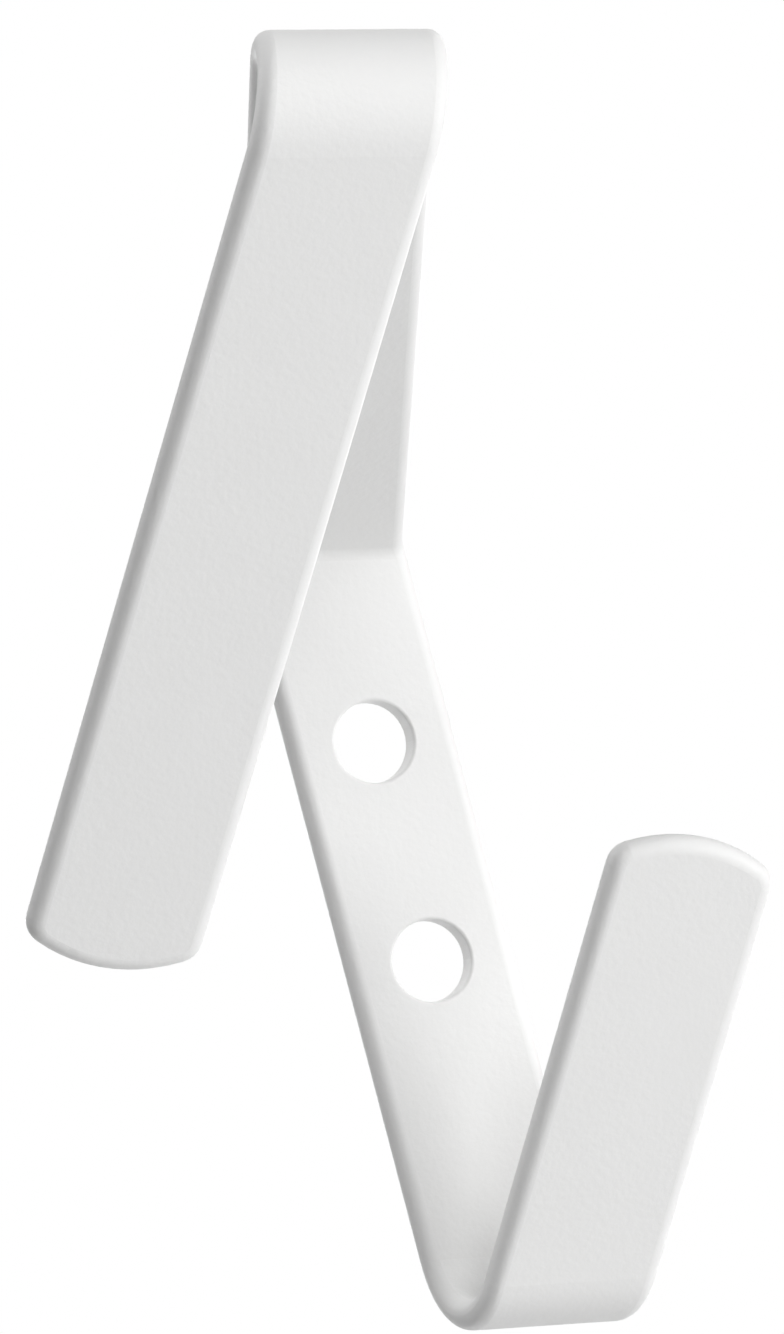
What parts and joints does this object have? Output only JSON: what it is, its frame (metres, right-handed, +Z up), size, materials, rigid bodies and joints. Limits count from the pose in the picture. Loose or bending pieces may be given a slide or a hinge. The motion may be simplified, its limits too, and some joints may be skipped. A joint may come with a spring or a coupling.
{
  "type": "coat hook",
  "caption": "Wall-mounted coat hook folded from a slanted flat bar, with a screw plate, a long upper arm and a short lower arm.",
  "frame": {"origin": "on the back face of the wall plate, midway between the two screw holes", "axes": "+X along the fold lines, +Y into the wall, +Z up the wall square to the fold lines"},
  "size_m": [0.0677, 0.0721, 0.1018],
  "materials": {
    "powder_coat": "fine-textured matt white powder coat over steel"
  },
  "bodies": {
    "root": {"bent_strip": "powder_coat"}
  },
  "joints": []
}
